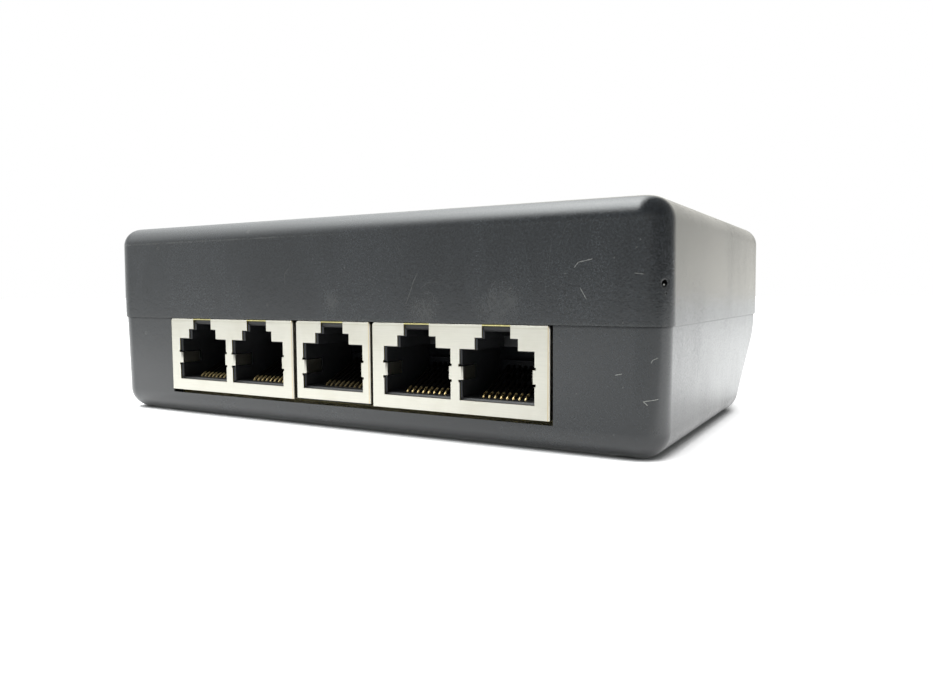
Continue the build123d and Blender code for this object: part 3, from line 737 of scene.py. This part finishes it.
def gilt_material(look):
    """Gold flash over nickel on the contact wires, gilt only in a band at their bends, with painted shade
    in dark brown before and behind it and over whole ports.
    """
    material, tree, shader, position = start_material("contact_wire")
    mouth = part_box("left_shield")[0][1]
    lines = use_effect(tree, "Brushing", position, Width=0.05 * MM, Length=2 * MM)
    base = shade(tree, look.gilt, ramp(tree, lines["Height"], 0.3, 0.7, 0.88, 1.06))
    across, depth = [coordinate(tree, position, axis) for axis in "XY"]
    # painted shade: outside the bright band, and in some ports throughout, the wires are blended to dark
    # brown and lose their metal
    bright = band(tree, depth, mouth + look.bright_start, mouth + look.bright_end, 0.3 * MM)
    shaded_places = [minus(tree, 1.0, bright)]
    for port, shade_level in PORT_SHADE.items():
        lowest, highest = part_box(f"port_{port}_contacts")
        shaded_places.append(times(tree, band(tree, across, lowest[0], highest[0], 0.2 * MM), shade_level))
    worn_and_shaded = strongest(tree, shaded_places)
    base = blend_colours(tree, worn_and_shaded, base, look.dull)
    roughness = plus(tree, ramp(tree, lines["Height"], 0.2, 0.8, 0.2, 0.3), times(tree, worn_and_shaded, 0.3))
    finish_surface(tree, shader, base, roughness, lines["Height"], 0.002 * MM)
    tree.links.new(minus(tree, 1.0, worn_and_shaded), shader.inputs["Metallic"])
    shader.inputs["Specular IOR Level"].default_value = WIRE_GLOSS
    return material


def board_material(look):
    """Green solder resist over copper traces, on straw-coloured laminate."""
    material, tree, shader, position = start_material("board_laminate")
    grain = use_effect(tree, "Moulded Grain", position, Width=0.4 * MM)
    traces = use_effect(tree, "Traces", position, Pitch=1.3 * MM)
    base = blend_colours(tree, traces["Mask"], look.resist, look.trace)
    cut_side = ramp(tree, facing(tree, "Z"), 0.3, 0.6, 1.0, 0.0)
    base = blend_colours(tree, cut_side, base, look.laminate)
    base = shade(tree, base, ramp(tree, grain["Drift"], 0.0, 1.0, 0.86, 1.12))
    roughness = ramp(tree, grain["Fleck"], 0.0, 1.0, 0.22, 0.36)
    relief = plus(tree, traces["Mask"], times(tree, grain["Height"], 0.1))
    finish_surface(tree, shader, base, roughness, relief, 0.03 * MM)
    return material


def screw_material(look):
    """Zinc-plated steel, with turned lines and a bloom of dull plate."""
    material, tree, shader, position = start_material("screw_steel")
    grain = use_effect(tree, "Moulded Grain", position, Width=0.3 * MM)
    lines = use_effect(tree, "Brushing", position, Width=0.09 * MM, Length=1.2 * MM)
    base = shade(tree, look.steel, ramp(tree, lines["Height"], 0.3, 0.7, 0.85, 1.08))
    base = cover(tree, base, lines["Stain"], look.bloom, 0.4)
    roughness = ramp(tree, grain["Fleck"], 0.0, 1.0, 0.26, 0.44)
    finish_surface(tree, shader, base, roughness, lines["Height"], 0.008 * MM)
    shader.inputs["Metallic"].default_value = 1.0
    return material


def fuse_material(look):
    """Amber dipped coating with the runs and thin spots of a dip."""
    material, tree, shader, position = start_material("fuse_coating")
    grain = use_effect(tree, "Moulded Grain", position, Width=0.6 * MM)
    specks = use_effect(tree, "Specks", position, Scale=900.0, Amount=0.08)
    base = shade(tree, look.fuse, ramp(tree, grain["Drift"], 0.0, 1.0, 0.7, 1.1))
    base = cover(tree, base, specks["Mask"], look.thin_dip, 0.5)
    roughness = ramp(tree, grain["Fleck"], 0.0, 1.0, 0.16, 0.3)
    finish_surface(tree, shader, base, roughness, grain["Height"], 0.04 * MM)
    return material


# ---------------------------------------------------------------- rounded pieces


def dress(node, material):
    """Gives a CAD node's own object a finish."""
    mesh = frame["nodes"][node].data
    mesh.materials.clear()
    mesh.materials.append(material)


def add_piece(name, mesh, body, node):
    """A new object that rides on a body and stands for a CAD node."""
    piece = bpy.data.objects.new(name, mesh)
    bpy.context.scene.collection.objects.link(piece)
    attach(piece, body)
    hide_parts(node)
    return piece


def on_outline(edge, lowest, highest):
    """Whether an edge lies along the outer sides of a piece's front face."""
    places = [vertex.co for vertex in edge.verts]
    sides = [(axis, corner[axis]) for axis in (0, 2) for corner in (lowest, highest)]
    return any(all(abs(place[axis] - side) < OUTLINE_MARGIN for place in places) for axis, side in sides)


def chamfer_openings(work, lowest, highest, width):
    """Cuts back the edges around the openings in a piece's front face."""
    edges = [
        edge
        for edge in work.edges
        if all(abs(vertex.co.y - lowest[1]) < FACE_MARGIN for vertex in edge.verts)
        and not on_outline(edge, lowest, highest)
        and len(edge.link_faces) == 2
        and edge.calc_face_angle() > CUT_BACK_ANGLE
    ]
    bmesh.ops.bevel(work, geom=edges, offset=width, segments=1, affect="EDGES", clamp_overlap=True)


def eased_copy(node, body, material, rounding, lead_in=0.0):
    """A copy of a CAD node with its sharp edges rounded, which stands for the node."""
    mesh = frame["nodes"][node].data.copy()
    mesh.materials.clear()
    mesh.materials.append(material)
    work = bmesh.new()
    work.from_mesh(mesh)
    bmesh.ops.remove_doubles(work, verts=work.verts, dist=WELD_DISTANCE)
    bmesh.ops.dissolve_limit(work, angle_limit=FLAT_ANGLE, verts=work.verts, edges=work.edges)
    if lead_in:
        chamfer_openings(work, *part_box(node), lead_in)
    for face in work.faces:
        face.smooth = True
    work.to_mesh(mesh)
    work.free()
    if mesh.has_custom_normals:
        mesh.attributes.remove(mesh.attributes["custom_normal"])
    piece = add_piece(f"{node}_finished", mesh, body, node)
    bevel = piece.modifiers.new("rounded edges", "BEVEL")
    bevel.width = rounding
    bevel.segments = 2
    bevel.limit_method = "ANGLE"
    bevel.angle_limit = ROUNDED_ANGLE
    bevel.use_clamp_overlap = True
    weights = piece.modifiers.new("weighted normals", "WEIGHTED_NORMAL")
    weights.keep_sharp = True


# ---------------------------------------------------------------- contact wires


def tube_mesh(name, lines, diameter, sides):
    """Round rods along lists of points, closed at both ends, as one mesh."""
    mesh = bpy.data.meshes.new(name)
    work = bmesh.new()
    side = Vector((1, 0, 0))
    turns = [2 * math.pi * step / sides for step in range(sides)]
    for points in lines:
        rings = []
        for index, point in enumerate(points):
            before = points[max(index - 1, 0)]
            after = points[min(index + 1, len(points) - 1)]
            up = (after - before).normalized().cross(side)
            spokes = [math.cos(turn) * side + math.sin(turn) * up for turn in turns]
            rings.append([work.verts.new(point + diameter / 2 * spoke) for spoke in spokes])
        for first, second in zip(rings, rings[1:]):
            for step in range(sides):
                following = (step + 1) % sides
                work.faces.new((first[step], first[following], second[following], second[step]))
        for cap in (work.faces.new(rings[0][::-1]), work.faces.new(rings[-1])):
            for edge in cap.edges:
                edge.smooth = False
    for face in work.faces:
        face.smooth = len(face.verts) == 4
    bmesh.ops.recalc_face_normals(work, faces=work.faces)
    work.to_mesh(mesh)
    work.free()
    return mesh


def arc(centre, radius, start, end, steps):
    """Depths and heights along an arc between two angles, counted from the rear, upwards."""
    points = []
    for step in range(steps + 1):
        turn = start + (end - start) * step / steps
        points.append((centre[0] + radius * math.cos(turn), centre[1] + radius * math.sin(turn)))
    return points


def wire_line(x, side_view):
    """Turns depths and heights, as Y and Z, into the points of one wire."""
    return [Vector((x, depth, height)) for depth, height in side_view]


def wire_places(node):
    """X of each wire of a port."""
    lowest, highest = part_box(node)
    first, last = lowest[0] + WIRE_WIDTH / 2, highest[0] - WIRE_WIDTH / 2
    return [first + (last - first) * index / (WIRE_COUNT - 1) for index in range(WIRE_COUNT)]


def run_height():
    """Height of the wires where they run along the board."""
    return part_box("circuit_board")[1][2] + RUN_HEIGHT


def soldered_lines(port, hinge, steps):
    """Tail, heel, run and bend of a port's wires; their tails stand in two rows."""
    node = f"port_{port}_contacts"
    lowest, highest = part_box(node)
    run = run_height()
    bend = (hinge[1], run + BEND_RADIUS)
    bend_end = math.pi / 2 + SPRING_TILT
    lines = []
    for index, x in enumerate(wire_places(node)):
        tail = highest[1] - WIRE_WIDTH / 3 - (0 if index % 2 else TAIL_STAGGER)
        side_view = [(tail, lowest[2])]
        side_view += arc((tail - HEEL_RADIUS, run - HEEL_RADIUS), HEEL_RADIUS, 0, math.pi / 2, steps)
        side_view += arc(bend, BEND_RADIUS, 1.5 * math.pi, bend_end, steps)
        lines.append(wire_line(x, side_view))
    return lines


def sprung_lines(port, hinge):
    """The sprung lengths of a port's wires, which rise into the port behind their bends."""
    turn = math.pi / 2 + SPRING_TILT
    depth = hinge[1] + BEND_RADIUS * math.cos(turn)
    height = run_height() + BEND_RADIUS + BEND_RADIUS * math.sin(turn)
    reaches = (SPRING_GAP, 0.35 * SPRING_LENGTH, 0.7 * SPRING_LENGTH, SPRING_LENGTH)
    side_view = [
        (depth + reach * math.cos(SPRING_TILT), height + reach * math.sin(SPRING_TILT)) for reach in reaches
    ]
    return [wire_line(x, side_view) for x in wire_places(f"port_{port}_springs")]


def add_wires(node, body, lines, look, material):
    """Round wires that stand for a CAD node."""
    mesh = tube_mesh(f"{node}_round", lines, look.diameter, look.sides)
    mesh.materials.append(material)
    add_piece(f"{node}_round", mesh, body, node)


# ---------------------------------------------------------------- stage


def either_ray(tree, *names):
    """1 for the named kinds of ray, from the Light Path node."""
    path = tree.nodes.new("ShaderNodeLightPath")
    return strongest(tree, [path.outputs[name] for name in names])


def floor_in_gloss(tree, look):
    """How bright the floor looks in glossy pieces.

    It is brighter near the box, and in front of it at the left, and fades far away.
    """
    place = tree.nodes.new("ShaderNodeTexCoord").outputs["Object"]
    across, back = [coordinate(tree, place, axis) for axis in "XY"]
    near = ramp(tree, back, -look.near_reach, -0.05, 0.0, 0.62)
    in_front = ramp(tree, back, -0.055, -0.03, 1.0, 0.0)
    brighter_left = ramp(tree, across, -0.01, 0.04, 0.2, -0.42)
    lift = blend_values(tree, in_front, 0.3, brighter_left)
    away = ramp(tree, vector_node(tree, "LENGTH", place), 0.08, 0.6, 1.0, 0.28, smooth=False)
    return times(tree, plus(tree, near, lift), away)


def add_floor(look):
    """A white floor, which the box darkens only where it nearly touches it."""
    corners = [(-FLOOR_REACH, -FLOOR_REACH, 0), (FLOOR_REACH, -FLOOR_REACH, 0)]
    corners += [(FLOOR_REACH, FLOOR_REACH, 0), (-FLOOR_REACH, FLOOR_REACH, 0)]
    mesh = bpy.data.meshes.new("floor")
    mesh.from_pydata(corners, [], [(0, 1, 2, 3)])
    floor = bpy.data.objects.new("floor", mesh)
    bpy.context.scene.collection.objects.link(floor)
    material = bpy.data.materials.new("floor_white")
    material.use_nodes = True
    mesh.materials.append(material)
    tree = material.node_tree
    shader = tree.nodes["Principled BSDF"]
    shader.inputs["Base Color"].default_value = (*look.floor, 1.0)
    shader.inputs["Roughness"].default_value = 0.9
    shader.inputs["Specular IOR Level"].default_value = 0.0
    shader.inputs["Emission Strength"].default_value = 1.0
    open_sky = add_node(tree, "ShaderNodeAmbientOcclusion", {"Distance": look.contact}, samples=8)
    clear = ramp(tree, open_sky.outputs["AO"], 0.3, 0.62)
    shown = times(tree, either_ray(tree, "Is Camera Ray", "Is Transmission Ray"), clear)
    foot = ramp(tree, open_sky.outputs["AO"], 0.2, 0.6, 0.12, 1.0)
    mirrored = times(tree, either_ray(tree, "Is Glossy Ray"), floor_in_gloss(tree, look))
    mirrored = times(tree, mirrored, foot, clamp=True)
    tree.links.new(plus(tree, shown, mirrored), shader.inputs["Emission Color"])


def add_surround(look):
    """Soft white light: a long light overhead, a bright rear, and the dimmer room in front."""
    world = bpy.data.worlds.new("surround")
    bpy.context.scene.world = world
    world.use_nodes = True
    tree = world.node_tree
    direction = tree.nodes.new("ShaderNodeTexCoord").outputs["Generated"]
    across, back, rise = [coordinate(tree, direction, axis) for axis in "XYZ"]
    # the room in front: brighter at the left, dimmer at the far right and higher up
    from_left = ramp(tree, vector_node(tree, "DOT_PRODUCT", direction, FRONT_LEFT), 0.5, 0.98)
    front = plus(tree, look.front, times(tree, from_left, look.left))
    front = times(tree, front, ramp(tree, across, 0.5, 0.95, 1.0, 0.55))
    front = times(tree, front, ramp(tree, rise, 0.3, 0.7, 1.0, 0.5))
    # the rear, brightest near the floor
    behind = ramp(tree, back, 0.68, 0.93)
    rear = times(tree, times(tree, behind, look.rear), ramp(tree, rise, 0.0, 0.1, 1.3, 0.75))
    # the light overhead, which lies to the left and fades out at its sides and ends
    overhead = look.overhead
    for fade in (
        ramp(tree, across, -0.91, -0.32, smooth=False),
        ramp(tree, across, -0.24, 0.08, 1.0, 0.0),
        ramp(tree, back, -0.8, -0.2),
        ramp(tree, back, 0.1, 0.85, 1.0, 0.06, smooth=False),
        ramp(tree, rise, 0.15, 0.45),
    ):
        overhead = times(tree, fade, overhead)
    total = plus(tree, plus(tree, front, rear), overhead)
    tint = blend_colours(tree, behind, look.front_tint, look.rear_tint)
    # the camera sees plain white beyond the floor
    seen = either_ray(tree, "Is Camera Ray")
    background = tree.nodes["Background"]
    tree.links.new(blend_colours(tree, seen, tint, WHITE), background.inputs["Color"])
    tree.links.new(blend_values(tree, seen, total, 1.0), background.inputs["Strength"])


def add_camera(look):
    """The view from the front right, a little over the parting line."""
    lens = bpy.data.cameras.new("camera")
    lens.lens = look.lens
    lens.clip_start = 0.01
    camera = bpy.data.objects.new("camera", lens)
    camera.location = CAMERA_PLACE
    camera.rotation_euler = [math.radians(angle) for angle in CAMERA_TURN]
    bpy.context.scene.collection.objects.link(camera)
    bpy.context.scene.camera = camera


# ---------------------------------------------------------------- operators and panel


class BOX_OT_effects(Operator):
    """Builds the shared surface effects"""

    bl_idname = "box.effects"
    bl_label = "Surface Effects"

    def execute(self, context):
        for name, build in EFFECTS.items():
            if name not in bpy.data.node_groups:
                build(name)
        return {"FINISHED"}


class BOX_OT_case(Operator):
    """Finishes the upper and lower shells"""

    bl_idname = "box.case"
    bl_label = "Case Shells"

    def execute(self, context):
        look = context.scene.box_case
        for node in SHELLS:
            eased_copy(node, "case", case_material(node, look), look.rounding)
        return {"FINISHED"}


class BOX_OT_jacks(Operator):
    """Finishes the shields, their back plates, the housings and the contact carriers"""

    bl_idname = "box.jacks"
    bl_label = "Jacks"

    def execute(self, context):
        look = context.scene.box_jacks
        moulded = jack_material("housing_plastic", look.housing, HOUSING_GLOSS)
        carrier = jack_material("carrier_plastic", look.carrier, CARRIER_GLOSS)
        for jack, ports in JACKS.items():
            shield, housing = f"{jack}_shield", f"{jack}_housing"
            plate = plate_material(shield, ports, look)
            eased_copy(shield, "case", plate, look.plate_rounding)
            dress(f"{shield}_back", plate)
            eased_copy(housing, "case", moulded, look.housing_rounding, look.lead_in)
            dress(f"{jack}_contact_carrier", carrier)
        return {"FINISHED"}


class BOX_OT_wires(Operator):
    """Draws the contact wires round, with smooth bends"""

    bl_idname = "box.wires"
    bl_label = "Contact Wires"

    def execute(self, context):
        look = context.scene.box_wires
        material = gilt_material(look)
        hinges = {joint["child"]: joint["pos_m"] for joint in frame["joints"]}
        for port in PORTS:
            contacts, springs = f"port_{port}_contacts", f"port_{port}_springs"
            hinge = hinges[springs]
            add_wires(contacts, "case", soldered_lines(port, hinge, look.steps), look, material)
            add_wires(springs, springs, sprung_lines(port, hinge), look, material)
        return {"FINISHED"}


class BOX_OT_inside(Operator):
    """Finishes the circuit board, the fuses and the screws"""

    bl_idname = "box.inside"
    bl_label = "Board, Fuses and Screws"

    def execute(self, context):
        look = context.scene.box_inside
        steel = screw_material(look)
        dress("circuit_board", board_material(look))
        dress("case_screws", steel)
        dress("board_screws", steel)
        dress("resettable_fuses", fuse_material(look))
        return {"FINISHED"}


class BOX_OT_stage(Operator):
    """Sets the floor, the surround and the camera"""

    bl_idname = "box.stage"
    bl_label = "Stage"

    def execute(self, context):
        look = context.scene.box_stage
        add_floor(look)
        add_surround(look)
        add_camera(look)
        context.scene.view_settings.view_transform = "Standard"
        return {"FINISHED"}


class BOX_PT_finishes(Panel):
    """Lists the finishes"""

    bl_label = "Box Finishes"
    bl_idname = "BOX_PT_finishes"
    bl_space_type = "VIEW_3D"
    bl_region_type = "UI"
    bl_category = "Box"

    def draw(self, context):
        for operator in OPERATORS:
            self.layout.operator(operator.bl_idname)


OPERATORS = (BOX_OT_effects, BOX_OT_case, BOX_OT_jacks, BOX_OT_wires, BOX_OT_inside, BOX_OT_stage)
LOOKS = {
    "box_case": CaseLook,
    "box_jacks": JackLook,
    "box_wires": WireLook,
    "box_inside": InsideLook,
    "box_stage": StageLook,
}
CLASSES = (*LOOKS.values(), *OPERATORS, BOX_PT_finishes)


def register():
    for item in CLASSES:
        bpy.utils.register_class(item)
    for name, look in LOOKS.items():
        setattr(bpy.types.Scene, name, PointerProperty(type=look))


def unregister():
    for name in LOOKS:
        delattr(bpy.types.Scene, name)
    for item in reversed(CLASSES):
        bpy.utils.unregister_class(item)


def main():
    register()
    bpy.ops.box.effects()
    bpy.ops.box.case()
    bpy.ops.box.jacks()
    bpy.ops.box.wires()
    bpy.ops.box.inside()
    bpy.ops.box.stage()


if __name__ == "__main__":
    main()
